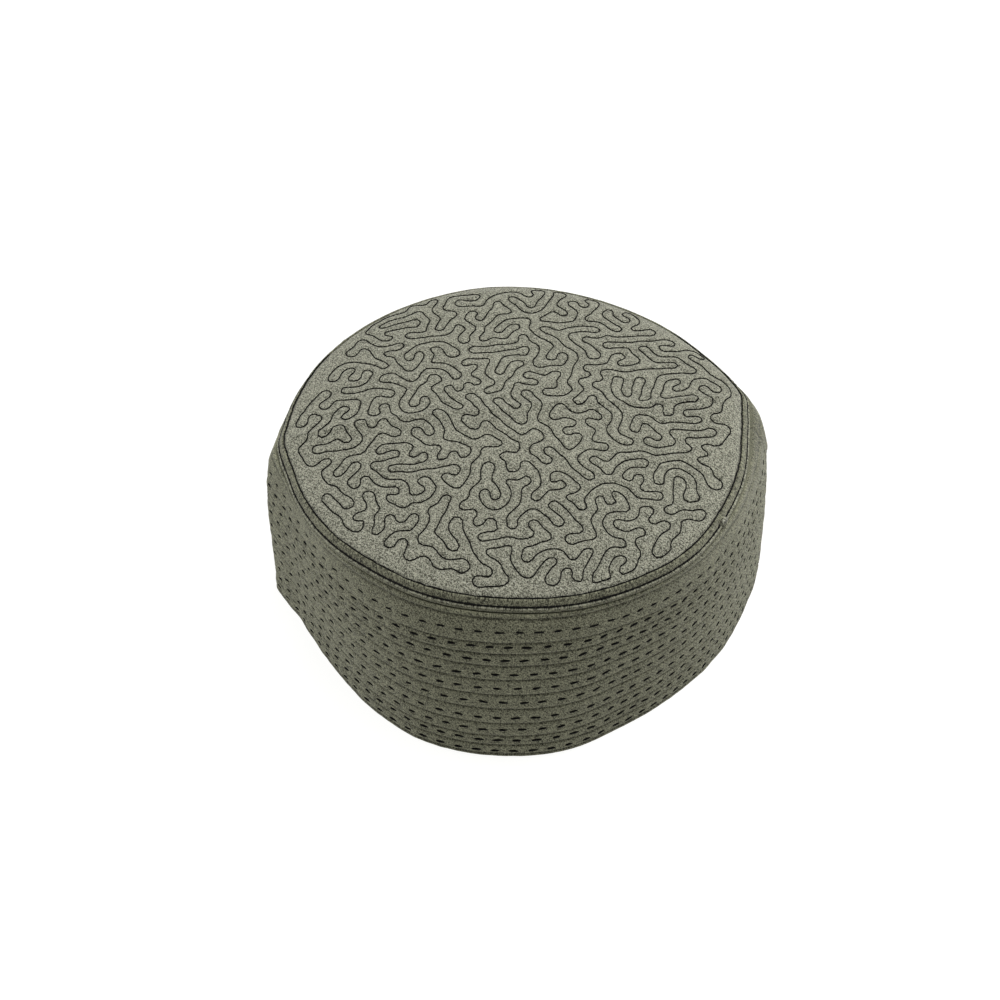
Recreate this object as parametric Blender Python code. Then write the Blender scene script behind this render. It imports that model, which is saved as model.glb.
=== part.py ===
"""Quilted prayer cap: a round crown, a stitched tape round its edge and a tucked side band.

Lengths are in metres and +Z is up. X runs along the crease where the cap is folded flat,
the rim lies on Z = 0, and the origin is the middle of the rim's footprint.
"""
import math
from collections import namedtuple

import bmesh
import bpy
from mathutils import Vector

# Driving sizes
CROWN_RADIUS = 0.090
SEAM_HEIGHT = 0.079
CROWN_RISE = 0.0085
CROWN_PUFF = 0.0035
CROWN_WALL = 0.0020
CREASE_RISE = 0.0008
CREASE_WIDTH = 0.0050
TAPE_WIDTH = 0.0030
TAPE_SLOPE_DEG = 68.0
TAPE_WALL = 0.0012
TAPE_LIP = 0.0021
BAND_WALL = 0.0025
BAND_SHOULDER = 0.0008
TUCK_DEPTH = 0.0007
HEM_TURN = 0.0005
SEAM_GAP = 0.0003

# Fineness of the faceted walls
SIDES = 64
INNER_STEPS = 5

# The plan outline, counted anticlockwise from the right end of the crease. The shares are of
# the crown radius, from the middle of the crease: it bellies to the front, and its two ends
# are the corners pressed into it by folding. The puff is a share of the crown's puff.
Station = namedtuple("Station", "turn_deg crown_share rim_share puff_share")
OUTLINE = (
    Station(0, 1.006, 1.143, 1.00),
    Station(5, 1.022, 1.131, 1.00),
    Station(12, 1.004, 1.096, 0.90),
    Station(25, 0.968, 1.022, 0.70),
    Station(45, 0.950, 0.970, 0.50),
    Station(60, 0.951, 0.968, 0.45),
    Station(76, 0.962, 0.985, 0.60),
    Station(92, 0.972, 1.002, 0.70),
    Station(112, 0.966, 0.990, 0.55),
    Station(135, 0.966, 0.975, 0.25),
    Station(155, 0.977, 1.005, 0.10),
    Station(168, 0.990, 1.048, 0.05),
    Station(175, 1.003, 1.084, 0.00),
    Station(180, 1.015, 1.098, 0.00),
    Station(185, 1.009, 1.067, 0.00),
    Station(192, 1.000, 1.021, 0.05),
    Station(204, 1.008, 0.998, 0.10),
    Station(216, 1.016, 1.008, 0.15),
    Station(230, 1.019, 1.043, 0.15),
    Station(244, 1.034, 1.079, 0.15),
    Station(262, 1.036, 1.084, 0.15),
    Station(276, 1.043, 1.074, 0.15),
    Station(290, 1.040, 1.033, 0.20),
    Station(306, 1.034, 1.020, 0.30),
    Station(322, 1.004, 1.035, 0.45),
    Station(338, 0.990, 1.057, 0.70),
    Station(350, 0.986, 1.103, 0.90),
)

# How far the side has spread from the crown's outline to the rim's, on its way down.
Flare = namedtuple("Flare", "drop_share spread_share")
FLARE = (
    Flare(0.00, 0.00),
    Flare(0.10, 0.48),
    Flare(0.25, 0.72),
    Flare(0.45, 0.86),
    Flare(0.70, 0.95),
    Flare(1.00, 1.00),
)

# The stitched grooves between the tucks, as shares of the way from the band's top edge, under
# the tape, to the rim.
TUCK_DROP_SHARES = (0.026, 0.172, 0.243, 0.326, 0.423, 0.529, 0.632, 0.740, 0.836, 0.905, 0.975)

# The crown's swell near its edge rises with one power of the way out and falls with another;
# the scale brings its peak to 1.
SWELL_RISE = 4
SWELL_FALL = 10
SWELL_SCALE = 2.35

# Rings of the crown from its edge inwards, as shares of the way out from its middle.
TOP_REACH_SHARES = (0.96, 0.88, 0.76, 0.62, 0.46, 0.30, 0.14)
UNDER_REACH_SHARES = (0.14, 0.46, 0.76, 0.92)


def hermite(low, high, slope_low, slope_high, span, share):
    """Cubic between two values with the given slopes at its ends."""
    square = share * share
    cube = square * share
    value = (2 * cube - 3 * square + 1) * low + (3 * square - 2 * cube) * high
    return value + span * ((cube - 2 * square + share) * slope_low + (cube - square) * slope_high)


def outline_value(turn_deg, column):
    """A column of the outline table at any turn, on a smooth curve that closes on itself."""
    count = len(OUTLINE)

    def row(index):
        station = OUTLINE[index % count]
        return station.turn_deg + 360 * (index // count), getattr(station, column)

    def slope(index):
        before, after = row(index - 1), row(index + 1)
        return (after[1] - before[1]) / (after[0] - before[0])

    turn = turn_deg % 360
    index = max(i for i in range(count) if OUTLINE[i].turn_deg <= turn)
    start, end = row(index), row(index + 1)
    span = end[0] - start[0]
    share = (turn - start[0]) / span
    return hermite(start[1], end[1], slope(index), slope(index + 1), span, share)


def spread_at(drop):
    """How much of the flare the side has reached at a drop below the seam."""
    for upper, lower in zip(FLARE, FLARE[1:]):
        if drop <= lower.drop_share:
            share = (drop - upper.drop_share) / (lower.drop_share - upper.drop_share)
            return upper.spread_share + share * (lower.spread_share - upper.spread_share)
    return FLARE[-1].spread_share


def outline_point(turn_deg, spread):
    """A point of the plan outline, from the crown's (spread 0) to the rim's (spread 1)."""
    crown = outline_value(turn_deg, "crown_share")
    rim = outline_value(turn_deg, "rim_share")
    radius = CROWN_RADIUS * (crown + (rim - crown) * spread)
    turn = math.radians(turn_deg)
    return Vector((radius * math.cos(turn), radius * math.sin(turn), 0))


def outline_ring(spread, out, height):
    """The outline moved outwards along its normals, as a ring of points at one height."""
    step = 360 / SIDES
    points = [outline_point(step * k, spread) for k in range(SIDES)]
    ring = []
    for k, point in enumerate(points):
        along = points[(k + 1) % SIDES] - points[k - 1]
        normal = Vector((along.y, -along.x, 0)).normalized()
        ring.append(point + normal * out + Vector((0, 0, height)))
    return ring


def footprint_middle():
    """Middle of the box round the rim, which becomes the origin."""
    rim = outline_ring(1, 0, 0)
    xs = [point.x for point in rim]
    ys = [point.y for point in rim]
    return Vector(((min(xs) + max(xs)) / 2, (min(ys) + max(ys)) / 2, 0))


def tape_run():
    """How far the tape's slope reaches inwards, and how high it climbs above the seam."""
    slope = math.radians(TAPE_SLOPE_DEG)
    return TAPE_WIDTH * math.cos(slope), TAPE_WIDTH * math.sin(slope)


def band_ring(share, depth):
    """A ring of the band at a share of its height down, pushed in by a depth."""
    height = (SEAM_HEIGHT - TAPE_LIP - SEAM_GAP) * (1 - share)
    drop = 1 - height / SEAM_HEIGHT
    return outline_ring(spread_at(drop), BAND_SHOULDER * (1 - drop) - depth, height)


def band_rings():
    """Rings down the band's tucked outside, across its hem and back up its inside."""
    rings = []
    stops = (0, *TUCK_DROP_SHARES, 1)
    for upper, lower in zip(stops, stops[1:]):
        rings.append(band_ring(upper, TUCK_DEPTH))
        rings.append(band_ring((upper + lower) / 2, 0))
    rings.append(band_ring(1, HEM_TURN))
    for k in range(INNER_STEPS + 1):
        rings.append(band_ring(1 - k / INNER_STEPS, TUCK_DEPTH + BAND_WALL))
    return rings


def tape_rings():
    """Rings round the tape's section: down its face, round its lip and back up behind."""
    run, rise = tape_run()
    slope = math.radians(TAPE_SLOPE_DEG)
    back_in = TAPE_WALL * math.sin(slope)
    back_down = TAPE_WALL * math.cos(slope)
    section = (
        (-run, rise),
        (0, 0),
        (0, -TAPE_LIP),
        (-TAPE_WALL, -TAPE_LIP),
        (-back_in, -back_down),
        (-run - back_in, rise - back_down),
    )
    return [outline_ring(0, out, SEAM_HEIGHT + up) for out, up in section]


def crown_edge():
    """The crown's edge, just inside the tape."""
    run, rise = tape_run()
    behind = TAPE_WALL * math.sin(math.radians(TAPE_SLOPE_DEG))
    return outline_ring(0, -run - behind - SEAM_GAP, SEAM_HEIGHT + rise)


def crown_lift(point, turn_deg, reach):
    """Height of the quilted crown above its edge."""
    dome = CROWN_RISE * (1 - reach ** 2)
    swell = SWELL_SCALE * reach ** SWELL_RISE * (1 - reach ** SWELL_FALL)
    puff = CROWN_PUFF * outline_value(turn_deg, "puff_share") * swell
    crease = CREASE_RISE * math.exp(-abs(point.y) / CREASE_WIDTH) * (1 - reach ** SWELL_RISE)
    return dome + puff + crease


def crown_ring(edge, reach, below):
    """A ring of the crown's top, or of its underside where below is the wall."""
    ring = []
    for k, outer in enumerate(edge):
        point = Vector((outer.x * reach, outer.y * reach, outer.z - below))
        point.z += crown_lift(point, 360 * k / SIDES, reach)
        ring.append(point)
    return ring


def add_loop(mesh, ring):
    """The vertices of a ring, in turn."""
    return [mesh.verts.new(point) for point in ring]


def bridge(mesh, loops):
    """Walls between neighbouring loops, side by side."""
    for first, second in zip(loops, loops[1:]):
        for k in range(len(first)):
            mesh.faces.new((first[k - 1], first[k], second[k], second[k - 1]))


def close_middle(mesh, loop, below):
    """Close a small loop with a fan to the crown's middle."""
    fan = bmesh.ops.poke(mesh, faces=[mesh.faces.new(loop)])
    _, rise = tape_run()
    top = SEAM_HEIGHT + rise + CROWN_RISE + CREASE_RISE
    fan["verts"][0].co = Vector((0, 0, top - below))


def cloth(name, colour, roughness):
    """Matt cotton of one colour."""
    material = bpy.data.materials.new(name)
    material.use_nodes = True
    shader = material.node_tree.nodes["Principled BSDF"]
    shader.inputs["Base Color"].default_value = (*colour, 1)
    shader.inputs["Roughness"].default_value = roughness
    shader.inputs["Metallic"].default_value = 0
    return material


def finish(mesh, name, material, middle):
    """Turn a built shape into a named object with its origin on the footprint's middle."""
    bmesh.ops.recalc_face_normals(mesh, faces=mesh.faces)
    bmesh.ops.translate(mesh, verts=mesh.verts, vec=-middle)
    data = bpy.data.meshes.new(name)
    mesh.to_mesh(data)
    mesh.free()
    data.materials.append(material)
    data.shade_smooth()
    data.set_sharp_from_angle(angle=math.radians(40))
    thing = bpy.data.objects.new(name, data)
    bpy.context.collection.objects.link(thing)
    return thing


def build_crown(middle):
    """The quilted round top: a shallow dome with the fold's crease across it."""
    mesh = bmesh.new()
    edge = crown_edge()
    rings = [crown_ring(edge, reach, CROWN_WALL) for reach in UNDER_REACH_SHARES]
    rings.append(crown_ring(edge, 1, CROWN_WALL))
    rings.append(crown_ring(edge, 1, 0))
    rings += [crown_ring(edge, reach, 0) for reach in TOP_REACH_SHARES]
    loops = [add_loop(mesh, ring) for ring in rings]
    bridge(mesh, loops)
    close_middle(mesh, loops[0], CROWN_WALL)
    close_middle(mesh, loops[-1], 0)
    return finish(mesh, "crown", cloth("crown_cloth", (0.195, 0.195, 0.153), 0.95), middle)


def build_ring(name, rings, material, middle):
    """A closed wall whose section runs once round through the rings."""
    mesh = bmesh.new()
    loops = [add_loop(mesh, ring) for ring in rings]
    bridge(mesh, loops + loops[:1])
    return finish(mesh, name, material, middle)


def build_crown_tape(middle):
    """The narrow tape sewn down over the crown's edge with two lines of stitches."""
    material = cloth("tape_cloth", (0.150, 0.150, 0.118), 0.95)
    return build_ring("crown_tape", tape_rings(), material, middle)


def build_side_band(middle):
    """The padded side, tucked into ribs, with its turned hem standing on the floor."""
    material = cloth("band_cloth", (0.150, 0.150, 0.118), 0.95)
    return build_ring("side_band", band_rings(), material, middle)


def clear_scene():
    for thing in list(bpy.data.objects):
        bpy.data.objects.remove(thing, do_unlink=True)


clear_scene()
origin = footprint_middle()
build_crown(origin)
build_crown_tape(origin)
build_side_band(origin)
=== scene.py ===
"""A quilted prayer cap of grey-green cotton: a padded side band stitched into tucks, a round crown
quilted with one winding black line, and a narrow tape sewn over the seam between them.

Lengths are in metres and +Z is up. Turns are counted anticlockwise from the right end of the
crease where the cap is folded flat, and every piece is drawn about the middle of that crease.
"""
import math
import random

import bmesh
import bpy
import numpy as np
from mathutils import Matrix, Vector, kdtree, noise


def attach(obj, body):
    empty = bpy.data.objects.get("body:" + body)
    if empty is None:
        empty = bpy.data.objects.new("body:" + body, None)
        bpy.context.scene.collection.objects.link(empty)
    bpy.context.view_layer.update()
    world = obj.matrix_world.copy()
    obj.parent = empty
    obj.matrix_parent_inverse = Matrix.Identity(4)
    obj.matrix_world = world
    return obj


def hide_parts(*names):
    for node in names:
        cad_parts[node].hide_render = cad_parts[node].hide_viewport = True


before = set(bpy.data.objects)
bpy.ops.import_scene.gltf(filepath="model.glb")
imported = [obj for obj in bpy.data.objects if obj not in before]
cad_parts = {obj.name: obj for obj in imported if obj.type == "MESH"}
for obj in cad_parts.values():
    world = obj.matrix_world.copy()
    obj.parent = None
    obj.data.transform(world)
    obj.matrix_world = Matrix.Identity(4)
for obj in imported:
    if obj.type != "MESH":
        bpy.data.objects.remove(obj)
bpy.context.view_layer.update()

# The cap stands on a plain pale floor. A wide soft light hangs over it, a little behind, and one
# stands at each side, so that the front of the side band is lit only by the floor.
LOOK_AT = Vector((-0.00882, -0.00025, 0.045))
VIEW_TURN = math.radians(-5.757)
VIEW_PITCH = math.radians(44.193)
VIEW_DISTANCE = 0.7122
VIEW_LENS = 64.54
FLOOR_HALF_WIDTH = 20.0
PAPER_GREY = (0.14, 0.14, 0.14, 1)
PAPER_GLOW = (1, 1, 0.985, 1)
SOFT_BOX = 0.5
ROOM_GLOW = 0.05

floor_mesh = bmesh.new()
bmesh.ops.create_grid(floor_mesh, x_segments=1, y_segments=1, size=FLOOR_HALF_WIDTH)
floor_data = bpy.data.meshes.new("floor")
floor_mesh.to_mesh(floor_data)
floor_mesh.free()
floor = bpy.data.objects.new("floor", floor_data)
bpy.context.collection.objects.link(floor)
paper = bpy.data.materials.new("pale_paper")
paper.use_nodes = True
paper_shader = paper.node_tree.nodes["Principled BSDF"]
paper_shader.inputs["Base Color"].default_value = PAPER_GREY
paper_shader.inputs["Roughness"].default_value = 0.9
paper_shader.inputs["Specular IOR Level"].default_value = 0.1
paper_shader.inputs["Emission Color"].default_value = PAPER_GLOW
paper_shader.inputs["Emission Strength"].default_value = 0.95
floor_data.materials.append(paper)


def soft_light(name, place, watts):
    """A square soft box that faces the cap."""
    light = bpy.data.lights.new(name, "AREA")
    light.shape = "SQUARE"
    light.size = SOFT_BOX
    light.energy = watts
    lamp = bpy.data.objects.new(name, light)
    lamp.location = place
    lamp.rotation_euler = (LOOK_AT - Vector(place)).to_track_quat("-Z", "Y").to_euler()
    bpy.context.collection.objects.link(lamp)


soft_light("overhead_light", (0.15, 0.06, 1.15), 13.3)
soft_light("left_light", (-0.96, 0.44, 0.36), 5.4)
soft_light("right_light", (0.98, 0.34, 0.38), 6.5)

room = bpy.context.scene.world or bpy.data.worlds.new("room")
bpy.context.scene.world = room
room.use_nodes = True
room_shade = next(node for node in room.node_tree.nodes if node.type == "BACKGROUND")
room_shade.inputs["Color"].default_value = (1, 1, 1, 1)
room_shade.inputs["Strength"].default_value = ROOM_GLOW
bpy.context.scene.view_settings.view_transform = "Standard"

camera_data = bpy.data.cameras.new("camera")
camera_data.lens = VIEW_LENS
camera_data.clip_start = 0.01
camera = bpy.data.objects.new("camera", camera_data)
camera.location = LOOK_AT + VIEW_DISTANCE * Vector((
    math.sin(VIEW_TURN) * math.cos(VIEW_PITCH),
    -math.cos(VIEW_TURN) * math.cos(VIEW_PITCH),
    math.sin(VIEW_PITCH),
))
camera.rotation_euler = (LOOK_AT - camera.location).to_track_quat("-Z", "Y").to_euler()
bpy.context.collection.objects.link(camera)
bpy.context.scene.camera = camera

# The side band: two layers of cotton over thin wadding, sewn round and round along eleven grooves
# into ten narrow tucks, with a row of black running stitches along each tuck and the hem turned
# under. It flares a little and bellies to the front.
CROWN_RADIUS = 0.090
SEAM_HEIGHT = 0.079
TAPE_LIP = 0.0021
SEAM_GAP = 0.0003
BAND_TOP = SEAM_HEIGHT - TAPE_LIP - SEAM_GAP
BAND_SHOULDER = 0.0008
BAND_THICKNESS = 0.0032
BAND_STEPS = 640

# Turn in degrees, then the crown's and the rim's share of the crown radius, then the crown's puff.
OUTLINE = np.array((
    (0, 1.006, 1.143, 1.00), (5, 1.022, 1.131, 1.00), (12, 1.004, 1.096, 0.90),
    (25, 0.968, 1.022, 0.70), (45, 0.950, 0.970, 0.50), (60, 0.951, 0.968, 0.45),
    (76, 0.962, 0.985, 0.60), (92, 0.972, 1.002, 0.70), (112, 0.966, 0.990, 0.55),
    (135, 0.966, 0.975, 0.25), (155, 0.977, 1.005, 0.10), (168, 0.990, 1.048, 0.05),
    (175, 1.003, 1.084, 0.00), (180, 1.015, 1.098, 0.00), (185, 1.009, 1.067, 0.00),
    (192, 1.000, 1.021, 0.05), (204, 1.008, 0.998, 0.10), (216, 1.016, 1.008, 0.15),
    (230, 1.019, 1.043, 0.15), (244, 1.034, 1.079, 0.15), (262, 1.036, 1.084, 0.15),
    (276, 1.043, 1.074, 0.15), (290, 1.040, 1.033, 0.20), (306, 1.034, 1.020, 0.30),
    (322, 1.004, 1.035, 0.45), (338, 0.990, 1.057, 0.70), (350, 0.986, 1.103, 0.90),
))
FLARE_DROPS = (0.00, 0.10, 0.25, 0.45, 0.70, 1.00)
FLARE_SPREADS = (0.00, 0.48, 0.72, 0.86, 0.95, 1.00)
TUCK_DROPS = (0.026, 0.172, 0.243, 0.326, 0.423, 0.529, 0.632, 0.740, 0.836, 0.905, 0.975)
DASH_DROPS = (0.099, 0.197, 0.285, 0.385, 0.483, 0.585, 0.698, 0.789, 0.870, 0.950)


def outline_share(turn, column):
    """A column of the outline table at any turn, on a smooth curve that closes on itself."""
    stops = np.concatenate([OUTLINE[-1:, 0] - 360, OUTLINE[:, 0], OUTLINE[:2, 0] + 360])
    shares = np.concatenate([OUTLINE[-1:, column], OUTLINE[:, column], OUTLINE[:2, column]])
    slopes = (shares[2:] - shares[:-2]) / (stops[2:] - stops[:-2])
    degrees = np.degrees(turn) % 360
    at = np.searchsorted(stops, degrees, side="right") - 1
    span = stops[at + 1] - stops[at]
    step = (degrees - stops[at]) / span
    ease = (3 - 2 * step) * step * step
    bow = span * step * (1 - step) * ((1 - step) * slopes[at - 1] - step * slopes[at])
    return shares[at] * (1 - ease) + shares[at + 1] * ease + bow


def outline_plan(turn, spread, out=0.0):
    """Plan points from the crown's outline (spread 0) to the rim's (1), moved out square to it."""
    def plain(at):
        crown = outline_share(at, 1)
        radius = CROWN_RADIUS * (crown + (outline_share(at, 2) - crown) * spread)
        return np.stack([radius * np.cos(at), radius * np.sin(at)], -1)

    nudge = math.radians(2)
    along = plain(turn + nudge) - plain(turn - nudge)
    along /= np.linalg.norm(along, axis=-1, keepdims=True)
    square = np.stack([along[..., 1], -along[..., 0]], -1)
    return plain(turn) + square * np.asarray(out)[..., None]


rim_plan = outline_plan(np.arange(64) * math.tau / 64, 1)
CAP_MIDDLE = np.append((rim_plan.min(0) + rim_plan.max(0)) / 2, 0)

LAP_TURNS = np.linspace(0, math.tau, 4097)


def lap_ways(spread):
    """How far round the cap each of the lap's turns is, along the outline."""
    steps = np.linalg.norm(np.diff(outline_plan(LAP_TURNS, spread), axis=0), axis=1)
    return np.append(0, np.cumsum(steps))


BAND_WAYS = lap_ways(0.8)
BAND_LAP = BAND_WAYS[-1]


def spread_at(height):
    """How much of the flare the side has reached at a height."""
    return np.interp(1 - height / SEAM_HEIGHT, FLARE_DROPS, FLARE_SPREADS)


# The upper rows sag towards both ends, where the plain strip under the tape is wider.
SAG_TURNS = (0, 30, 60, 150, 190, 208, 232, 248, 264, 270, 280, 305, 330, 360)
SAG_SHARES = (0.090, 0.050, 0, 0, 0.030, 0.052, 0.046, 0.014, 0, 0, 0.020, 0.068, 0.092, 0.090)
SAG_START = 0.09


def sagged(way, height):
    """The height where cloth from a height of the plain band ends up."""
    sag = np.interp(np.degrees(np.interp(way, BAND_WAYS, LAP_TURNS)), SAG_TURNS, SAG_SHARES)
    drop = np.clip(1 - height / BAND_TOP, 0, 1)
    return height - BAND_TOP * sag * np.minimum(drop / SAG_START, 1) * (1 - drop) ** 1.5


def rumple(way, height, across, up, seed):
    """Smooth hills of cloth, about the given lengths round and up the cap, from -1 to 1."""
    ring = BAND_LAP / math.tau / across
    turn = way / BAND_LAP * math.tau
    spots = np.stack([ring * np.cos(turn), ring * np.sin(turn), height / up + 13.7 * seed], -1)
    hills = np.array([noise.noise(spot) for spot in spots.reshape(-1, 3).tolist()])
    return hills.reshape(way.shape)


# The running stitches: how far round each lies, row by row. They are wider apart from the left
# corner to the middle of the front than on the right.
DASH_LENGTH = 0.0037
DASH_WIDTH = 0.00092
DASH_PITCH_TURNS = (0, 40, 150, 200, 276, 288, 360)
DASH_PITCHES = (0.0058, 0.0064, 0.0068, 0.0071, 0.0071, 0.0060, 0.0058)

dash_rng = random.Random(11)
dash_rows = []
for drop in DASH_DROPS:
    row = []
    way = dash_rng.uniform(0.001, 0.006)
    while way < BAND_LAP - 0.004:
        row.append(way)
        turn_deg = math.degrees(np.interp(way, BAND_WAYS, LAP_TURNS))
        pitch = np.interp(turn_deg, DASH_PITCH_TURNS, DASH_PITCHES)
        way += pitch * dash_rng.uniform(0.93, 1.07)
    dash_rows.append(np.array(row))

GROOVE_DEPTH = 0.00045
TUCKED_TURNS = (0, 190, 235, 255, 290, 318, 360)
TUCKED_SHARES = (0.35, 0.30, 0.65, 1.0, 1.0, 0.45, 0.35)
GROOVE_WIDTH = 0.00036
TUCK_PUFF = 0.00030
DIMPLE_DEPTH = 0.00044
DIMPLE_LENGTH = 0.0021
DIMPLE_WIDTH = 0.0013
CORNER_WAYS = (0.0, BAND_LAP, float(np.interp(math.pi, LAP_TURNS, BAND_WAYS)))
EAR_WAY = float(np.interp(math.radians(9), LAP_TURNS, BAND_WAYS))
EAR_BULGE = 0.0016
JOIN_WAY = float(np.interp(math.radians(356), LAP_TURNS, BAND_WAYS))
JOIN_WIDTH = 0.0009
JOIN_DEPTH = 0.0007
# JOIN_SHADE is the strength of the painted shade in the join of the band's ends.
JOIN_SHADE = 1.3
CORNER_RISE = 0.0003
CORNER_WIDTH = 0.0028
EAR_LENGTH = 0.018
EAR_DROP = 0.10
BROAD_RUMPLE = 0.00055
SOFT_RUMPLE = 0.00034
FINE_RUMPLE = 0.00010


def tucked_at(way):
    """How hard the tucks are drawn in, from 0 to 1: hardest at the front."""
    turn = np.degrees(np.interp(way, BAND_WAYS, LAP_TURNS))
    return np.interp(turn, TUCKED_TURNS, TUCKED_SHARES)


def groove_mark(height):
    """1 in the bottom of a tuck's groove and 0 a thread's width away."""
    mark = np.zeros_like(height)
    for drop in TUCK_DROPS:
        mark += np.exp(-((height - BAND_TOP * (1 - drop)) / GROOVE_WIDTH) ** 2)
    return mark


def band_relief(way, height):
    """How far the band's outside stands out from its outline: tucks, dimples and rumples."""
    relief = BAND_SHOULDER * height / SEAM_HEIGHT
    stops = BAND_TOP * (1 - np.array((0.0,) + TUCK_DROPS + (1.0,)))[::-1]
    tuck = np.clip(np.searchsorted(stops, height) - 1, 0, len(stops) - 2)
    share = np.clip((height - stops[tuck]) / (stops[tuck + 1] - stops[tuck]), 0, 1)
    relief += TUCK_PUFF * (np.sqrt(np.sin(math.pi * share)) - 1)
    tucked = tucked_at(way)
    sewn = tucked * (0.75 + 0.5 * rumple(way, height, 0.0018, 0.004, 1))
    relief -= GROOVE_DEPTH * sewn * groove_mark(height)
    for drop, row in zip(DASH_DROPS, dash_rows):
        near = np.clip(np.searchsorted(row, way), 1, len(row) - 1)
        gap = np.minimum(np.abs(way - row[near]), np.abs(way - row[near - 1]))
        off = (height - BAND_TOP * (1 - drop)) / DIMPLE_WIDTH
        pull = DIMPLE_DEPTH * (2.2 - 1.3 * tucked)
        relief -= pull * np.exp(-(gap / DIMPLE_LENGTH) ** 2 - off ** 2)
    relief += BROAD_RUMPLE * rumple(way, height, 0.045, 0.060, 2)
    relief += SOFT_RUMPLE * (1.4 - tucked) * rumple(way, height, 0.008, 0.020, 3)
    relief += FINE_RUMPLE * rumple(way, height, 0.003, 0.004, 4)
    for corner in CORNER_WAYS:
        relief += CORNER_RISE * np.exp(-((way - corner) / CORNER_WIDTH) ** 2)
    relief -= JOIN_DEPTH * np.exp(-((way - JOIN_WAY) / JOIN_WIDTH) ** 2)
    below = (1 - height / BAND_TOP) / EAR_DROP - 1
    ear = np.exp(-((way - EAR_WAY) / EAR_LENGTH) ** 2 - below ** 2)
    return relief + EAR_BULGE * ear


def spun_ring(section, steps):
    """A closed wall: the section's outline spun once round, as a mesh and its vertices' turns,
    distances out and heights."""
    mesh = bmesh.new()
    points = [mesh.verts.new((CROWN_RADIUS + out, 0, height)) for out, height in section]
    edges = [mesh.edges.new((points[k - 1], points[k])) for k in range(len(points))]
    bmesh.ops.spin(
        mesh, geom=points + edges, cent=(0, 0, 0), axis=(0, 0, 1), dvec=(0, 0, 0),
        angle=math.tau, steps=steps, use_merge=True, use_duplicate=False,
    )
    bmesh.ops.recalc_face_normals(mesh, faces=mesh.faces)
    data = bpy.data.meshes.new("ring")
    mesh.to_mesh(data)
    mesh.free()
    spots = np.empty(len(data.vertices) * 3)
    data.vertices.foreach_get("co", spots)
    spots = spots.reshape(-1, 3)
    turn = np.arctan2(spots[:, 1], spots[:, 0]) % math.tau
    turn[turn > math.tau - 1e-4] = 0
    return data, turn, np.hypot(spots[:, 0], spots[:, 1]) - CROWN_RADIUS, spots[:, 2]


def place_vertices(data, plan, height):
    """Move a mesh's vertices to plan points and heights, in the cap's own frame."""
    spots = np.concatenate([plan, height[:, None]], 1) - CAP_MIDDLE
    data.vertices.foreach_set("co", spots.ravel())
    data.update()


def map_cloth(data, turn, ways, along):
    """A map in metres that follows a ring's cloth: round the cap, and along its section."""
    corners = np.empty(len(data.loops), np.int32)
    data.loops.foreach_get("vertex_index", corners)
    turns = turn[corners].reshape(-1, 4)
    turns = np.where(turns.max(1, keepdims=True) - turns > math.pi, turns + math.tau, turns)
    round_way = np.interp(turns.ravel(), LAP_TURNS, ways)
    flat = np.stack([round_way, along[corners]], 1)
    data.uv_layers.new(name="cloth").data.foreach_set("uv", flat.astype(np.float32).ravel())


def mark_vertices(data, name, values):
    """A number on every vertex, for the cloth's finish to read."""
    data.attributes.new(name, "FLOAT", "POINT").data.foreach_set("value", values)


def piece(data, name, finish, slot, *nodes):
    """A finished piece at the origin that rides on the cap and stands for the nodes."""
    data.name = name
    data.materials.clear()
    data.materials.append(finish)
    data.shade_smooth()
    thing = bpy.data.objects.new(name, data)
    bpy.context.collection.objects.link(thing)
    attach(thing, "root")
    if nodes:
        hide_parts(*nodes)
    return thing


class Wire:
    """A socket of a material, for shader maths written as plain expressions."""

    def __init__(self, tree, socket=None):
        self.tree = tree
        self.socket = socket

    def node(self, kind, settings=None, values=None, output=0):
        """Any node: its settings first, then the values or links of its sockets."""
        made = self.tree.nodes.new("ShaderNode" + kind)
        for name, value in (settings or {}).items():
            setattr(made, name, value)
        for name, value in (values or {}).items():
            if isinstance(value, Wire):
                self.tree.links.new(value.socket, made.inputs[name])
            else:
                made.inputs[name].default_value = value
        return Wire(self.tree, made.outputs[output])

    def maths(self, operation, first, second=0.0):
        return self.node("Math", {"operation": operation}, {0: first, 1: second})

    def __add__(self, other):
        return self.maths("ADD", self, other)

    def __sub__(self, other):
        return self.maths("SUBTRACT", self, other)

    def __rsub__(self, other):
        return self.maths("SUBTRACT", other, self)

    def __mul__(self, other):
        return self.maths("MULTIPLY", self, other)

    def __pow__(self, other):
        return self.maths("POWER", self, other)

    __radd__ = __add__
    __rmul__ = __mul__

    def ramp(self, low, high):
        """0 at low and 1 at high, smooth between."""
        return self.node(
            "MapRange", {"interpolation_type": "SMOOTHSTEP"},
            {"Value": self, "From Min": low, "From Max": high},
        )

    def blotch(self, spot, scale, detail=2.0):
        """Soft noise from about 0.2 to 0.8, at so many blotches a metre."""
        return self.node("TexNoise", {}, {"Vector": spot, "Scale": scale, "Detail": detail})

    def stretch(self, spot, sizes):
        """A spot with its axes stretched."""
        return self.node("VectorMath", {"operation": "MULTIPLY"}, {0: spot, 1: sizes})

    def blend(self, share, first, second):
        """A colour between two, by a share."""
        return self.node("Mix", {"data_type": "RGBA"}, {0: share, 6: first, 7: second}, 2)


# Grey-green melange cotton in a fine plain weave: dark and light fibres spun together, so that
# every crossing of two threads has its own tone and slubs run along the threads.
CLOTH_DARK = (0.028, 0.028, 0.018)
CLOTH_LIGHT = (0.350, 0.350, 0.274)
CLOTH_FLECK = (0.52, 0.53, 0.46)
# A painted highlight for the lit top of a fold.
CLOTH_PAINTED_HIGHLIGHT = (0.42, 0.42, 0.34, 1)
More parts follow.
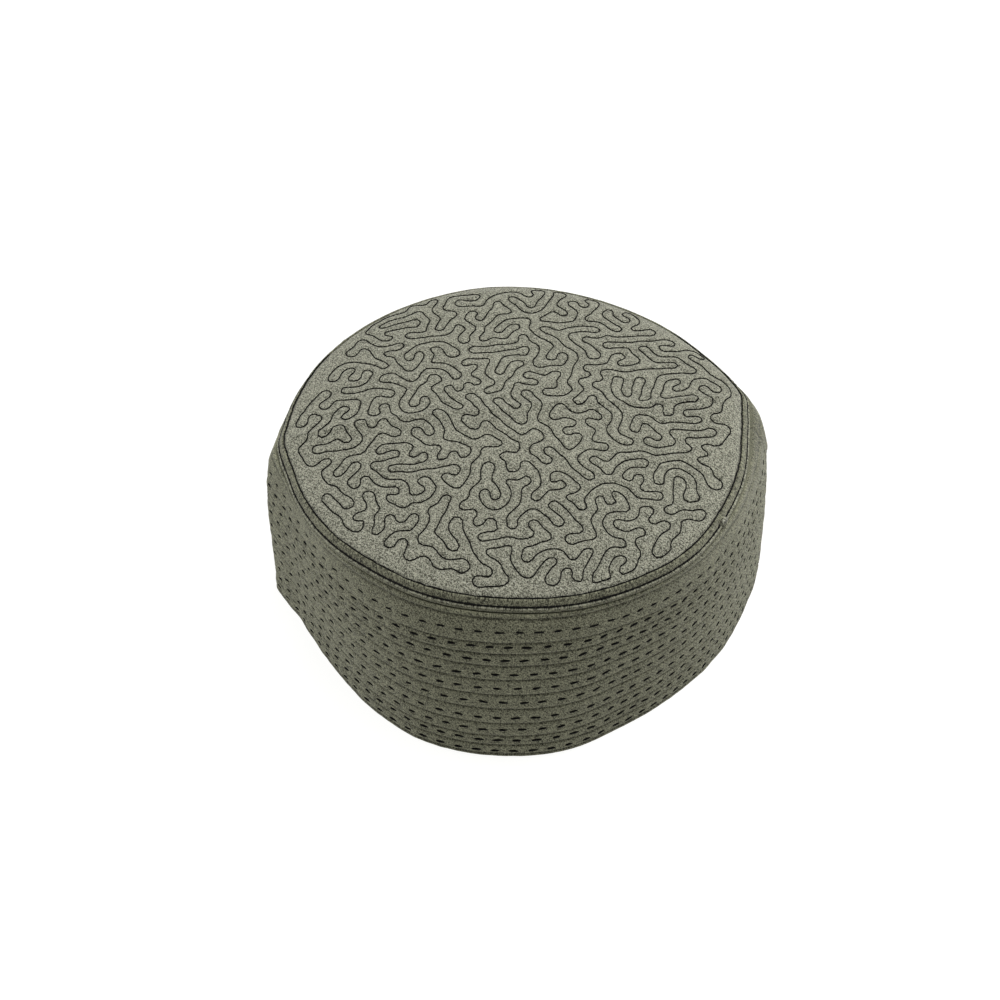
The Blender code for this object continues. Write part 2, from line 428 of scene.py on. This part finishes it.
# A painted shade for the sewn grooves and the folds that lie in shade.
CLOTH_PAINTED_SHADE = (0.030, 0.030, 0.022, 1)
CROSSINGS_A_METRE = 3200
# The cloth as it is, with no painted shade.
PLAIN_TONE = (1.0, 1.0, 1.0)


def toned(colour, shade_tone):
    """A colour as a socket's value, darkened by a shade tone, which is painted shade."""
    return (*(part * share for part, share in zip(colour, shade_tone)), 1)


def melange(name, flat_map, painted_marks, shade_tone):
    """The cap's cloth, woven along its own map or, on the flat crown, along the cap's axes, and
    darkened by a shade tone that is painted shade. With painted marks, painted shade darkens it in
    the sewn grooves and a painted highlight lightens lit folds."""
    material = bpy.data.materials.new(name)
    material.use_nodes = True
    tree = material.node_tree
    shader = tree.nodes["Principled BSDF"]
    wire = Wire(tree)
    if flat_map:
        spot = wire.node("UVMap", {"uv_map": "cloth"})
    else:
        spot = wire.node("TexCoord", {}, {}, 3)
    flat = wire.stretch(spot, (CROSSINGS_A_METRE, CROSSINGS_A_METRE, 0))
    cell = wire.node("VectorMath", {"operation": "FLOOR"}, {0: flat})
    crossing = wire.node("TexWhiteNoise", {}, {"Vector": cell})
    warp = wire.blotch(wire.stretch(flat, (1.0, 0.20, 0)), 1.0, 0.0)
    weft = wire.blotch(wire.stretch(flat, (0.20, 1.0, 0)), 1.0, 0.0)
    cloudy = wire.blotch(spot, 60, 2.0)
    twill = wire.node("TexWave", {"bands_direction": "DIAGONAL"}, {
        "Vector": flat, "Scale": 0.115, "Distortion": 1.0, "Detail": 0.0,
    }, 1)
    shade = crossing * 1.00 + warp * 0.70 + weft * 0.70 + twill * 0.16 + cloudy * 0.10 - 0.83
    colour = wire.blend(shade.ramp(-0.12, 1.12), toned(CLOTH_DARK, shade_tone), toned(CLOTH_LIGHT, shade_tone))
    fleck = crossing.ramp(0.985, 0.990) * wire.blotch(spot, 300, 1.0).ramp(0.45, 0.60)
    colour = wire.blend(fleck * 0.7, colour, toned(CLOTH_FLECK, shade_tone))
    if painted_marks:
        # Painted shade in the sewn grooves, dotted along them.
        painted_shade = wire.node("Attribute", {"attribute_name": "painted_shade"}, {}, 2)
        dots = wire.blotch(wire.stretch(spot, (1.0, 0.3, 1.0)), 900, 0.0).ramp(0.30, 0.62)
        colour = wire.blend(painted_shade * (0.35 + dots * 0.45), colour, CLOTH_PAINTED_SHADE)
        # Painted highlight on the lit top of a fold.
        painted_highlight = wire.node("Attribute", {"attribute_name": "painted_highlight"}, {}, 2)
        colour = wire.blend(painted_highlight * (0.05 + crossing * 0.45), colour, CLOTH_PAINTED_HIGHLIGHT)
    tree.links.new(colour.socket, shader.inputs["Base Color"])
    bump = wire.node("Bump", {}, {"Strength": 0.5, "Distance": 0.00012, "Height": shade})
    tree.links.new(bump.socket, shader.inputs["Normal"])
    shader.inputs["Roughness"].default_value = 0.92
    shader.inputs["Specular IOR Level"].default_value = 0.18
    shader.inputs["Sheen Weight"].default_value = 0.10
    shader.inputs["Sheen Roughness"].default_value = 0.6
    return material


# The band's cloth: its weave follows the slant of the wall. Painted shade darkens it in the sewn
# grooves and in the join of its two ends, and a soft painted shade lies on the shoulder below the
# tape beside them.
# Painted shade: the band is the crown's cloth made darker and yellower, as it looks in the shade
# below the crown.
BAND_SHADE_TONE = (0.86, 0.86, 0.735)
INSIDE_STEPS = 14
HEM = ((-0.0001, 0.0008), (-0.0005, 0.0003), (-0.0011, 0), (-0.0021, 0), (-0.0028, 0.0003))
HEM_TOP = 0.0012
INSIDE_START = 0.0009
LEAST_STEP = 0.0003
SLANT_STEPS = 24
# Painted shade on the shoulder below the tape, beside the join.
SHOULDER_SHADE = 0.75
SHOULDER_SHADE_DROP = 0.006
SHOULDER_SHADE_LENGTH = 0.030


def climbed(turn, height):
    """How far up the band's slanting wall a place is, measured along the cloth."""
    levels = height * np.linspace(0, 1, SLANT_STEPS + 1)[:, None]
    plans = np.array([outline_plan(turn, spread_at(level), 0.0) for level in levels])
    apart = np.linalg.norm(np.diff(plans, axis=0), axis=2)
    return np.hypot(apart, height / SLANT_STEPS).sum(0)


def band_section():
    """The band's section: down its tucked outside, round the hem and up its plain inside."""
    outside = {BAND_TOP}
    for drop in TUCK_DROPS:
        bottom = BAND_TOP * (1 - drop)
        outside.update(bottom + step * GROOVE_WIDTH for step in (-2.4, -1.1, 0, 1.1, 2.4))
    for upper, lower in zip((0.0,) + TUCK_DROPS, TUCK_DROPS + (1.0,)):
        high, low = BAND_TOP * (1 - upper), BAND_TOP * (1 - lower)
        for share in (0.26, 0.42, 0.58, 0.74):
            outside.add(low + (high - low) * share)
    heights = sorted((height for height in outside if HEM_TOP < height <= BAND_TOP), reverse=True)
    kept = heights[:1]
    for height in heights[1:]:
        if kept[-1] - height > LEAST_STEP:
            kept.append(height)
    inside = [BAND_TOP * k / INSIDE_STEPS for k in range(INSIDE_STEPS + 1)]
    inside[0] = INSIDE_START
    return [(0, up) for up in kept] + list(HEM) + [(-BAND_THICKNESS, up) for up in inside]


band_data, turn, out, height = spun_ring(band_section(), BAND_STEPS)
way = np.interp(turn, LAP_TURNS, BAND_WAYS)
outer = np.clip(1 + out / BAND_THICKNESS, 0, 1)
relief = band_relief(way, height) * (0.35 + 0.65 * outer)
settled = sagged(way, height)
place_vertices(band_data, outline_plan(turn, spread_at(settled), out + relief), settled)
up_cloth = np.where(out > -0.002, climbed(turn, settled), 0.1 - height)
map_cloth(band_data, turn, BAND_WAYS, up_cloth)
join_mark = JOIN_SHADE * np.exp(-((way - JOIN_WAY) / JOIN_WIDTH) ** 2)
past_join = np.minimum((way - JOIN_WAY) % BAND_LAP, (JOIN_WAY - way) % BAND_LAP)
shoulder_mark = SHOULDER_SHADE * np.exp(-(BAND_TOP - height) / SHOULDER_SHADE_DROP)
shoulder_mark *= np.exp(-(past_join / SHOULDER_SHADE_LENGTH) ** 2)
# Painted shade: the grooves, the join and the shoulder below the tape are darkened in the colour.
painted_shade = np.maximum(groove_mark(height), np.maximum(join_mark, shoulder_mark))
mark_vertices(band_data, "painted_shade", painted_shade * (outer > 0.99))
band_melange = melange("band_melange", True, True, BAND_SHADE_TONE)
side_band = piece(band_data, "padded_side", band_melange, "band_cloth", "side_band")

# The running stitches of the side: black cotton thread, two-ply and matt. Each stitch is a short
# rounded length of it, sewn through the middle of a tuck, that dips into the cloth at both ends.
THREAD_BLACK = (0.0020, 0.0020, 0.0017, 1)
THREAD_WORN = (0.008, 0.008, 0.007, 1)
BAND_STITCH_SAG = 0.00012


def black_thread():
    """The stitches' thread, a little fuzzy and uneven."""
    material = bpy.data.materials.new("black_thread")
    material.use_nodes = True
    tree = material.node_tree
    shader = tree.nodes["Principled BSDF"]
    wire = Wire(tree)
    ply = wire.blotch(wire.node("TexCoord", {}, {}, 3), 2600, 1.0)
    colour = wire.blend(ply.ramp(0.35, 0.75), THREAD_BLACK, THREAD_WORN)
    tree.links.new(colour.socket, shader.inputs["Base Color"])
    bump = wire.node("Bump", {}, {"Strength": 0.5, "Distance": 0.0001, "Height": ply})
    tree.links.new(bump.socket, shader.inputs["Normal"])
    shader.inputs["Roughness"].default_value = 0.8
    shader.inputs["Specular IOR Level"].default_value = 0.12
    return material


def stitches(name, starts, ends, outwards, widths, sag, slot):
    """Stitches from their starts to their ends, joined as one piece. Their middles stand out by
    half their width and their ends dip by the sag."""
    mesh = bmesh.new()
    bmesh.ops.create_uvsphere(mesh, u_segments=6, v_segments=5, radius=1)
    shape = np.array([vert.co[:] for vert in mesh.verts])
    sides = [[vert.index for vert in face.verts] for face in mesh.faces]
    mesh.free()
    along, across, up = shape[:, 2], shape[:, 0], shape[:, 1]
    fuller = np.sqrt(np.clip(1 - along ** 6, 0, 1)) / np.sqrt(np.clip(1 - along ** 2, 1e-6, 1))
    across, up = across * fuller, up * fuller
    run = ends - starts
    length = np.linalg.norm(run, axis=1, keepdims=True)
    run = run / length
    aside = np.cross(outwards, run)
    aside /= np.linalg.norm(aside, axis=1, keepdims=True)
    square = np.cross(run, aside)
    half = widths[:, None, None] / 2
    spots = (
        ((starts + ends) / 2)[:, None]
        + run[:, None] * (along[:, None] * length[:, None] / 2)
        + aside[:, None] * (across[:, None] * half)
        + square[:, None] * (up[:, None] * half - sag * along[:, None] ** 2)
    )
    count = len(shape)
    faces = [[corner + count * k for corner in side] for k in range(len(starts)) for side in sides]
    data = bpy.data.meshes.new(name)
    data.from_pydata((spots.reshape(-1, 3) - CAP_MIDDLE).tolist(), [], faces)
    return piece(data, name, thread, slot)


thread = black_thread()


def band_spots(way, height):
    """Places on the band's outside, and the way out from it."""
    turn = np.interp(way, BAND_WAYS, LAP_TURNS)
    settled = sagged(way, height)
    spread = spread_at(settled)
    relief = band_relief(way, height)
    on = outline_plan(turn, spread, relief)
    off = outline_plan(turn, spread, relief + 0.001) - on
    outwards = np.concatenate([off, np.full((len(off), 1), 0.0001)], 1)
    outwards /= np.linalg.norm(outwards, axis=1, keepdims=True)
    return np.concatenate([on, settled[:, None]], 1), outwards


dash_ways = np.concatenate(dash_rows)
dash_heights = np.concatenate([
    np.full(len(row), BAND_TOP * (1 - drop)) for drop, row in zip(DASH_DROPS, dash_rows)
])
dash_lengths = np.array([DASH_LENGTH * dash_rng.uniform(0.82, 1.16) for _ in dash_ways])
dash_tilts = np.array([dash_rng.gauss(0, 0.00016) for _ in dash_ways])
dash_wander = np.array([dash_rng.gauss(0, 0.00015) for _ in dash_ways])
middles, outwards = band_spots(dash_ways, dash_heights + dash_wander)
before, _ = band_spots(dash_ways - 0.001, dash_heights + dash_wander)
along = middles - before
along /= np.linalg.norm(along, axis=1, keepdims=True)
reach = along * dash_lengths[:, None] / 2
reach[:, 2] += dash_tilts
lifted = middles + outwards * (0.00010 + 0.00006 * tucked_at(dash_ways))[:, None]
stitches(
    "side_stitches", lifted - reach, lifted + reach, outwards,
    np.full(len(reach), DASH_WIDTH), BAND_STITCH_SAG, "band_cloth",
)

# The tape: a folded strip of the same cloth that slopes down from the crown's edge to the seam,
# with a soft lip below. A fine line of black stitches holds its top and a bolder one lies in
# the seam. Its two ends lap at the front, to the right.
TAPE_SECTION = (
    (-0.00168, 0.00230), (-0.00150, 0.00262), (-0.00122, 0.00278), (-0.00092, 0.00250),
    (-0.00066, 0.00195), (-0.00040, 0.00130), (-0.00018, 0.00070), (-0.00008, 0.00032),
    (-0.00026, 0.00004), (-0.00002, -0.00024), (0.00046, -0.00040), (0.00076, -0.00066),
    (0.00082, -0.00110), (0.00076, -0.00160), (0.00058, -0.00208), (0.00018, -0.00232),
    (-0.00105, -0.00225), (-0.00120, -0.00120), (-0.00128, -0.00030), (-0.00140, 0.00060),
    (-0.00160, 0.00130), (-0.00172, 0.00190),
)
TAPE_STEPS = 720
# Painted shade: the tape is the crown's cloth made darker and yellower, for the shade its slope
# stands in at the front.
TAPE_SHADE_TONE = (0.70, 0.70, 0.605)
# A painted highlight on the top of the tape's lip, where light from above falls on the fold.
HIGHLIGHT_HEIGHTS = (-0.0008, -0.0006, -0.0004, -0.0003)
HIGHLIGHT_SHARES = (0.0, 0.3, 1.0, 0.3)
LAP_TURN = math.radians(320.5)
TAPE_WAYS = lap_ways(0.0)
TAPE_LAP = TAPE_WAYS[-1]
LAP_WAY = float(np.interp(LAP_TURN, LAP_TURNS, TAPE_WAYS))
KNOB_LENGTH = 0.0014
KNOB_RISE = 0.00085
TAPE_RUMPLE = 0.00012
TAPE_FINE_RUMPLE = 0.00007
FLAT_TURNS = (0, 35, 150, 185, 215, 250, 300, 335, 360)
FLAT_RUNS = (0.00075, 0.0, 0.0, 0.00045, 0.00040, 0.0, 0.00010, 0.00070, 0.00075)


def crown_edge_in(turn, inwards):
    """A distance in from the seam near the crown's edge, more where the tape lies flatter."""
    return inwards + np.interp(np.degrees(turn), FLAT_TURNS, FLAT_RUNS)


def tape_relief(way, height):
    """The tape's small rumples, its flatter stretches at both sides, and the soft knob where one
    end is folded over the other."""
    off = (way - LAP_WAY) / KNOB_LENGTH
    knob = np.exp(-off ** 2) - 0.45 * np.exp(-(off + 1.9) ** 2)
    low = np.clip((SEAM_HEIGHT + 0.0022 - height) / 0.0010, 0, 1)
    climb = np.clip((height - SEAM_HEIGHT) / 0.0024, 0, 1)
    turn = np.interp(way, TAPE_WAYS, LAP_TURNS)
    rumples = TAPE_RUMPLE * rumple(way, height, 0.006, 0.004, 6)
    rumples += TAPE_FINE_RUMPLE * rumple(way, height, 0.0022, 0.0015, 7)
    return rumples + KNOB_RISE * knob * low - crown_edge_in(turn, 0.0) * climb


tape_data, turn, out, height = spun_ring(
    [(out, SEAM_HEIGHT + up) for out, up in TAPE_SECTION], TAPE_STEPS,
)
way = np.interp(turn, LAP_TURNS, TAPE_WAYS)
place_vertices(tape_data, outline_plan(turn, 0.0, out + tape_relief(way, height)), height)
map_cloth(tape_data, turn, TAPE_WAYS, height + out * 0.5)
# Painted highlight along the lit top of the lip.
painted_highlight = np.interp(height - SEAM_HEIGHT, HIGHLIGHT_HEIGHTS, HIGHLIGHT_SHARES) * (out > -0.0001)
mark_vertices(tape_data, "painted_highlight", painted_highlight)
tape_melange = melange("tape_melange", True, True, TAPE_SHADE_TONE)
piece(tape_data, "edge_tape", tape_melange, "tape_cloth", "crown_tape")

# The tape's two lines of stitches, of the same black thread: the upper one runs along its top
# and the lower one in the seam, with a gap where the tape's ends meet.
SEAM_STITCH_SAG = 0.00012
BACK_SHIFT_OUT = 0.00062
BACK_SHIFT_DOWN = 0.00060


def seam_stitches(name, out, up, pitch, width, wander, gap):
    """A line of stitches round the tape at one place of its section, but for a gap. At the back
    the upper line lies a little down the tape's slope."""
    rng = random.Random(name)
    count = int(TAPE_LAP / pitch)
    ways = np.arange(count + 1) * TAPE_LAP / count
    turn = np.interp(ways, TAPE_WAYS, LAP_TURNS)
    climb = np.clip(up / 0.0024, 0, 1)
    back = np.clip((np.sin(turn) - 0.45) / 0.2, 0, 1) * climb
    outs = out - crown_edge_in(turn, 0.0) * climb + BACK_SHIFT_OUT * back
    outs += np.array([rng.gauss(0, wander) for _ in ways])
    ups = SEAM_HEIGHT + up - BACK_SHIFT_DOWN * back
    ups += np.array([rng.gauss(0, wander) for _ in ways])
    outs[-1], ups[-1] = outs[0], ups[0]
    knots = np.concatenate([outline_plan(turn, 0.0, outs), ups[:, None]], 1)
    off = outline_plan(turn, 0.0, outs + 0.001) - knots[:, :2]
    outwards = np.concatenate([off, np.full((len(off), 1), 0.0007)], 1)
    outwards /= np.linalg.norm(outwards, axis=1, keepdims=True)
    kept = np.abs((ways[:-1] + ways[1:]) / 2 - LAP_WAY) > gap
    run = (knots[1:] - knots[:-1]) * 0.06
    stitches(
        name, (knots[:-1] - run)[kept], (knots[1:] + run)[kept], outwards[:-1][kept],
        np.full(kept.sum(), width), SEAM_STITCH_SAG, "tape_cloth",
    )


seam_stitches(
    "upper_seam_stitches", out=-0.00172, up=0.00276,
    pitch=0.0021, width=0.00062, wander=0.00012, gap=0.0,
)
seam_stitches(
    "lower_seam_stitches", out=-0.00008, up=0.00010,
    pitch=0.0023, width=0.00082, wander=0.00005, gap=0.0017,
)

# The folded end of the tape: a soft knob of the cloth where the two ends meet in the seam, tucked
# in and pressed flat by the stitches on both sides of it.
FOLD_LENGTH = 0.0021
FOLD_DEPTH = 0.0009
FOLD_HEIGHT = 0.0014
FOLD_LEAN = 0.0005
FOLD_OUT = 0.00046
FOLD_UP = 0.0002

fold_mesh = bmesh.new()
bmesh.ops.create_uvsphere(fold_mesh, u_segments=24, v_segments=16, radius=1)
fold_plan = outline_plan(np.array([LAP_TURN, LAP_TURN + 0.001]), 0.0, FOLD_OUT)
fold_along = Vector((*(fold_plan[1] - fold_plan[0]), 0)).normalized()
fold_out = fold_along.cross(Vector((0, 0, 1)))
fold_middle = Vector((*fold_plan[0], SEAM_HEIGHT + FOLD_UP)) - Vector(CAP_MIDDLE)
for vert in fold_mesh.verts:
    lumpy = 1 + 0.10 * noise.noise(vert.co * 2.1)
    along_share, out_share, up_share = vert.co * lumpy
    vert.co = fold_middle + fold_along * (FOLD_LENGTH * along_share)
    vert.co += fold_out * (FOLD_DEPTH * out_share)
    vert.co.z += FOLD_HEIGHT * up_share - FOLD_LEAN * along_share
fold_mesh.normal_update()
bmesh.ops.recalc_face_normals(fold_mesh, faces=fold_mesh.faces)
fold_data = bpy.data.meshes.new("fold")
fold_mesh.to_mesh(fold_data)
fold_mesh.free()
fold_melange = melange("fold_melange", False, False, PLAIN_TONE)
piece(fold_data, "tape_fold", fold_melange, "tape_cloth")

# The crown: two layers of cotton over thin wadding, quilted by one black line that winds over
# the whole of it without crossing itself. Folding the cap has left a low crease across it.
CROWN_RISE = 0.0085
CROWN_PUFF = 0.0035
CROWN_WALL = 0.0020
CREASE_RISE = 0.0008
CREASE_WIDTH = 0.0050
CREASE_WAVE = 0.0006
RIDGE_RISE = 0.0005
RIDGE_END_RISE = 0.0007
RIDGE_WIDTH = 0.0016
ROLL_START = 0.985
ROLL_DROP = 0.00045
SWELL_SCALE = 2.35
CROWN_EDGE_IN = 0.00188
CROWN_EDGE_UP = 0.00278
CROWN_EDGE_WALL = 0.0008
CROWN_CELLS = 264
UNDER_CELLS = 132


def crown_spots(reach, turn, down):
    """Places on the crown at a share of the way out from its middle, and a depth below its top."""
    plan = outline_plan(turn, 0.0, -crown_edge_in(turn, CROWN_EDGE_IN)) * reach[:, None]
    swell = SWELL_SCALE * reach ** 4 * (1 - reach ** 10)
    lift = CROWN_RISE * (1 - reach ** 2) + CROWN_PUFF * outline_share(turn, 3) * swell
    fold = np.abs(plan[:, 1] - CREASE_WAVE * np.sin(plan[:, 0] / 0.011))
    lift += CREASE_RISE * np.exp(-fold / CREASE_WIDTH) * (1 - reach ** 4)
    ridge = RIDGE_RISE + RIDGE_END_RISE * reach ** 4
    lift += ridge * np.exp(-fold / RIDGE_WIDTH) * (1 - reach ** 24)
    rolled = np.clip((reach - ROLL_START) / (1 - ROLL_START), 0, 1)
    lift -= ROLL_DROP * rolled ** 2
    return plan, SEAM_HEIGHT + CROWN_EDGE_UP + lift - down


# The winding line: a random tree of branches is grown on a rough lattice and the line runs once
# round all of its twigs. It is eased until it bends softly, and then grows longer and buckles
# into round-ended fingers that keep their distance from each other.
TWIG_PITCH = 0.0043
LINE_PITCH = 0.0034
LINE_STEP = 0.0009
LINE_SEED = 5
CURL_SPREAD = 0.009
CURL_SHARE = 1.8
CURL_MOST = 2.2
EASE_LAPS = 12
GROW_LAPS = 80
FRONT_MARGIN = 0.0030
BACK_MARGIN = 0.0018
FIELD_TURNS = np.linspace(0, math.tau, 721)


def crown_reach(turn):
    """How far the crown's edge lies from its middle at a turn."""
    edge = outline_plan(turn, 0.0, -crown_edge_in(turn, CROWN_EDGE_IN))
    return np.linalg.norm(edge, axis=1)


FIELD_REACHES = crown_reach(FIELD_TURNS)
FIELD_REACHES -= np.where(np.sin(FIELD_TURNS) < 0.1, FRONT_MARGIN, BACK_MARGIN)


def field_reach(x, y):
    """How far the quilted field reaches from the crown's middle, towards a place."""
    return np.interp(np.arctan2(y, x) % math.tau, FIELD_TURNS, FIELD_REACHES)


def branch_lattice(rng):
    """Knots of a rough lattice over the field, and the twigs of a random tree that joins them."""
    grid = 2 * TWIG_PITCH
    span = int(0.24 / grid) + 2
    knots = {}
    for across in range(-span, span + 1):
        for up in range(-span, span + 1):
            turn = rng.uniform(0, math.tau)
            away = grid * 0.24 * math.sqrt(rng.random())
            x = (across + up / 2) * grid + away * math.cos(turn)
            y = up * grid * math.sqrt(3) / 2 + away * math.sin(turn)
            if math.hypot(x, y) < field_reach(x, y) - TWIG_PITCH / 2:
                knots[across, up] = (x, y)
    twigs = []
    for across, up in knots:
        for other in ((across + 1, up), (across, up + 1), (across - 1, up + 1)):
            if other in knots:
                twigs.append((rng.random(), (across, up), other))
    twigs.sort()
    tree = {knot: knot for knot in knots}

    def root(knot):
        while tree[knot] != knot:
            tree[knot] = tree[tree[knot]]
            knot = tree[knot]
        return knot

    links = {knot: [] for knot in knots}
    for most in (3, 9):
        for _, a, b in twigs:
            if root(a) != root(b) and len(links[a]) < most and len(links[b]) < most:
                tree[root(a)] = root(b)
                links[a].append(b)
                links[b].append(a)
    return knots, links


def round_branches(knots, links):
    """The line once round every twig, half a pitch away from it."""
    def heading(a, b):
        return math.atan2(knots[b][1] - knots[a][1], knots[b][0] - knots[a][0])

    half = TWIG_PITCH / 2
    a = next(knot for knot in links if len(links[knot]) == 1)
    b = links[a][0]
    first = (a, b)
    line = []
    while True:
        back = heading(b, a)
        wedges = [((back - heading(b, c)) % math.tau or math.tau, c) for c in links[b] if c != a]
        wedge, c = min(wedges + [(math.tau, a)])
        x, y = knots[b]
        if wedge <= math.pi:
            away = min(half / math.sin(wedge / 2), 1.5 * half)
            turn = back - wedge / 2
            line.append((x + away * math.cos(turn), y + away * math.sin(turn)))
        else:
            sweep = wedge - math.pi
            count = max(2, math.ceil(sweep / math.radians(50)) + 1)
            for k in range(count):
                turn = back - math.pi / 2 - sweep * k / (count - 1)
                line.append((x + half * math.cos(turn), y + half * math.sin(turn)))
        a, b = b, c
        if (a, b) == first:
            return np.array(line)


def evenly(line, step):
    """Points on a closed line about a step apart."""
    loop = np.vstack([line, line[:1]])
    ways = np.append(0, np.cumsum(np.linalg.norm(np.diff(loop, axis=0), axis=1)))
    count = int(round(ways[-1] / step))
    wanted = np.arange(count) * ways[-1] / count
    return np.column_stack([np.interp(wanted, ways, loop[:, k]) for k in (0, 1)])


def near_pairs(line, pitch):
    """Pairs of the line's points that lie close together but not along it."""
    tree = kdtree.KDTree(len(line))
    for k, (x, y) in enumerate(line):
        tree.insert((x, y, 0), k)
    tree.balance()
    apart = int(1.3 * pitch / LINE_STEP)
    pairs = []
    for k, (x, y) in enumerate(line):
        for _, other, _ in tree.find_range((x, y, 0), 1.25 * pitch):
            if apart < abs(other - k) < len(line) - apart:
                pairs.append((k, other))
    return np.array(pairs).T


def curl(line):
    """How strongly the line grows, place by place, so that some of its fingers curl more."""
    spots = np.column_stack([line / CURL_SPREAD, np.zeros(len(line))]).tolist()
    share = 1 + CURL_SHARE * np.array([noise.noise(spot) for spot in spots])
    return np.clip(share, 0, CURL_MOST)[:, None]


def eased(line, laps, pitch, push_size, pull):
    """The line bent softly, pushed away from itself and kept inside the field. It draws itself
    in by the pull, and where that is below 0 it grows."""
    line = evenly(line, LINE_STEP)
    for lap in range(laps):
        if lap % 12 == 0:
            line = evenly(line, LINE_STEP)
        if lap % 4 == 0:
            one, two = near_pairs(line, pitch)
        gap = line[one] - line[two]
        width = np.linalg.norm(gap, axis=1) + 1e-9
        push = (np.clip(1 - width / (1.15 * pitch), 0, 1) / width)[:, None] * gap
        force = np.column_stack([np.bincount(one, push[:, k], len(line)) for k in (0, 1)])
        bow = (np.roll(line, 1, 0) + np.roll(line, -1, 0)) / 2 - line
        change = (np.roll(bow, 1, 0) + np.roll(bow, -1, 0)) / 2 - bow
        growth = pull * curl(line) if pull < 0 else pull
        line = line + push_size * force - 0.45 * change + growth * bow
        reach = np.hypot(line[:, 0], line[:, 1])
        limit = field_reach(line[:, 0], line[:, 1])
        line *= np.minimum(1, limit / reach)[:, None]
    return line


quilt_line = round_branches(*branch_lattice(random.Random(LINE_SEED)))
quilt_line = eased(quilt_line, EASE_LAPS, TWIG_PITCH, 0.00012, 0.04)
quilt_line = eased(quilt_line, GROW_LAPS, LINE_PITCH, 0.00025, -0.12)

QUILT_DEPTH = 0.00042
QUILT_WIDTH = 0.00085
CROWN_RUMPLE = 0.00010
CROWN_RUMPLE_SPAN = 0.011
quilt_points = evenly(quilt_line, 0.0004)
quilt_tree = kdtree.KDTree(len(quilt_points))
for k, (x, y) in enumerate(quilt_points):
    quilt_tree.insert((x, y, 0), k)
quilt_tree.balance()


def quilt_relief(plan):
    """How far the quilted crown stands above its own smooth top: it sinks along the line."""
    away = np.array([quilt_tree.find((x, y, 0))[2] for x, y in plan.tolist()])
    sunk = QUILT_DEPTH * np.exp(-(away / QUILT_WIDTH) ** 2)
    spots = np.column_stack([plan / CROWN_RUMPLE_SPAN, np.zeros(len(plan))]).tolist()
    return CROWN_RUMPLE * np.array([noise.noise(spot) for spot in spots]) - sunk


def disc_of(spots):
    """Shares of the way out and turns, where a square of cells is eased into a disc."""
    a, b = spots[:, 0], spots[:, 1]
    wide = np.abs(a) > np.abs(b)
    long = np.where(wide, a, np.where(b == 0, 1e-9, b))
    short = np.where(wide, b, a)
    lean = math.pi / 4 * short / long
    turn = np.where(wide, lean, math.pi / 2 - lean)
    x, y = long * np.cos(turn), long * np.sin(turn)
    return np.hypot(x, y), np.arctan2(y, x) % math.tau


def build_crown():
    """The quilted top and the plain underside, joined by the crown's edge."""
    mesh = bmesh.new()
    bmesh.ops.create_grid(mesh, x_segments=CROWN_CELLS, y_segments=CROWN_CELLS, size=1)
    top = mesh.verts[:]
    rim = [edge for edge in mesh.edges if edge.is_boundary]
    wall = bmesh.ops.extrude_edge_only(mesh, edges=rim)["geom"]
    lower = [thing for thing in wall if isinstance(thing, bmesh.types.BMVert)]
    lower_rim = [edge for edge in wall if isinstance(edge, bmesh.types.BMEdge) and edge.is_boundary]
    known = set(mesh.verts)
    bmesh.ops.create_grid(mesh, x_segments=UNDER_CELLS, y_segments=UNDER_CELLS, size=1)
    under = [vert for vert in mesh.verts if vert not in known]
    under_rim = [edge for edge in mesh.edges if edge.is_boundary and edge.verts[0] not in known]

    def lay(verts, shrink, down, relief):
        reach, turn = disc_of(np.array([vert.co[:2] for vert in verts]))
        reach = np.minimum(reach * shrink, 1)
        plan, height = crown_spots(reach, turn, 0.0)
        height = height - down(reach)
        if relief:
            height = height + quilt_relief(plan) * np.clip((1 - reach) / 0.01, 0, 1)
        for vert, (x, y), z in zip(verts, plan.tolist(), height.tolist()):
            vert.co = (x, y, z)

    lay(top, 1.0, lambda reach: 0 * reach, True)
    lay(lower, 1.0, lambda reach: CROWN_EDGE_WALL + 0 * reach, False)
    lay(under, 0.994, lambda reach: np.interp(
        reach, (0.94, 0.994), (CROWN_WALL, CROWN_EDGE_WALL)), False)
    bmesh.ops.bridge_loops(mesh, edges=lower_rim + under_rim)
    bmesh.ops.recalc_face_normals(mesh, faces=mesh.faces)
    bmesh.ops.translate(mesh, verts=mesh.verts, vec=-Vector(CAP_MIDDLE))
    data = bpy.data.meshes.new("crown")
    mesh.to_mesh(data)
    mesh.free()
    return data


crown_melange = melange("crown_melange", False, False, PLAIN_TONE)
crown = piece(build_crown(), "quilted_crown", crown_melange, "crown_cloth", "crown")

# The quilting stitches: the same black thread, sewn along the winding line with about five
# stitches to a centimetre, each a little off the line.
STITCH_PITCH = 0.0019
STITCH_WIDTH = 0.00054
STITCH_LIFT = 0.00022
STITCH_SAG = 0.00010
stitch_rng = random.Random(5)
knots = evenly(quilt_line, STITCH_PITCH)
knots = knots + np.array([[stitch_rng.gauss(0, 0.00007) for _ in (0, 1)] for _ in knots])


def on_crown(plan):
    """Places on the crown's quilted top above plan points."""
    turn = np.arctan2(plan[:, 1], plan[:, 0]) % math.tau
    reach = np.linalg.norm(plan, axis=1) / crown_reach(turn)
    _, height = crown_spots(reach, turn, 0.0)
    return np.concatenate([plan, (height + quilt_relief(plan))[:, None]], 1)


laid = on_crown(knots)
laid[:, 2] += STITCH_LIFT
following = np.roll(laid, -1, 0)
run = (following - laid) * 0.07
upwards = np.tile((0.0, 0.0, 1.0), (len(laid), 1))
widths = np.array([STITCH_WIDTH * stitch_rng.uniform(0.92, 1.08) for _ in laid])
stitches("crown_stitches", laid - run, following + run, upwards, widths, STITCH_SAG, "crown_cloth")
